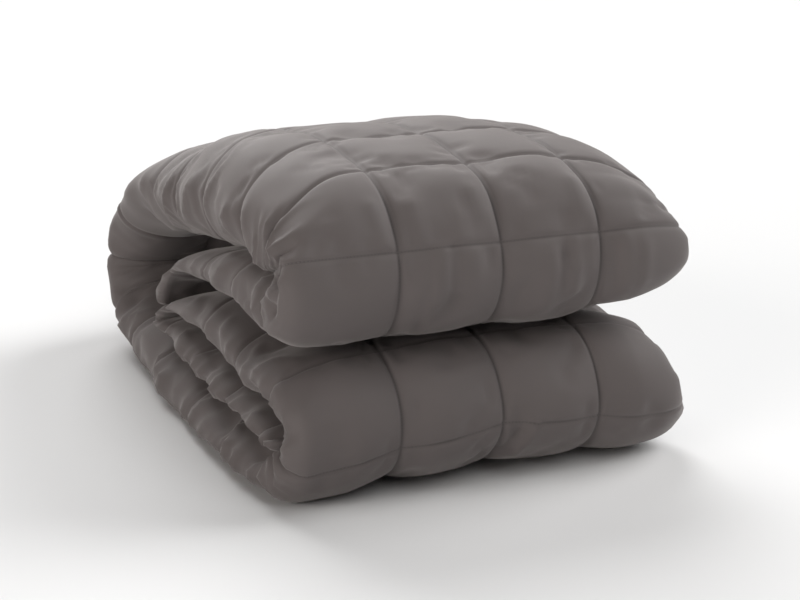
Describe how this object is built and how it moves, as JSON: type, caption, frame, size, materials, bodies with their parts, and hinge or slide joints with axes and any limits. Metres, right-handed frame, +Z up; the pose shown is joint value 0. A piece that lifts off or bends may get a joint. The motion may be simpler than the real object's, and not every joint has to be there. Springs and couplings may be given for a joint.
{
  "type": "weighted blanket",
  "caption": "Quilted weighted blanket folded back and forth into a stack, with puffed rolls at the front and an open bend at the back.",
  "frame": {"origin": "bottom centre of the folded blanket's bounding box, on the surface it rests on", "axes": "+X to the right along the front rolls, +Y from the front rolls to the back bend, +Z up"},
  "size_m": [0.406, 0.6622, 0.3097],
  "materials": {
    "microfibre": "matte"
  },
  "bodies": {
    "root": {"blanket": "microfibre"}
  },
  "joints": []
}
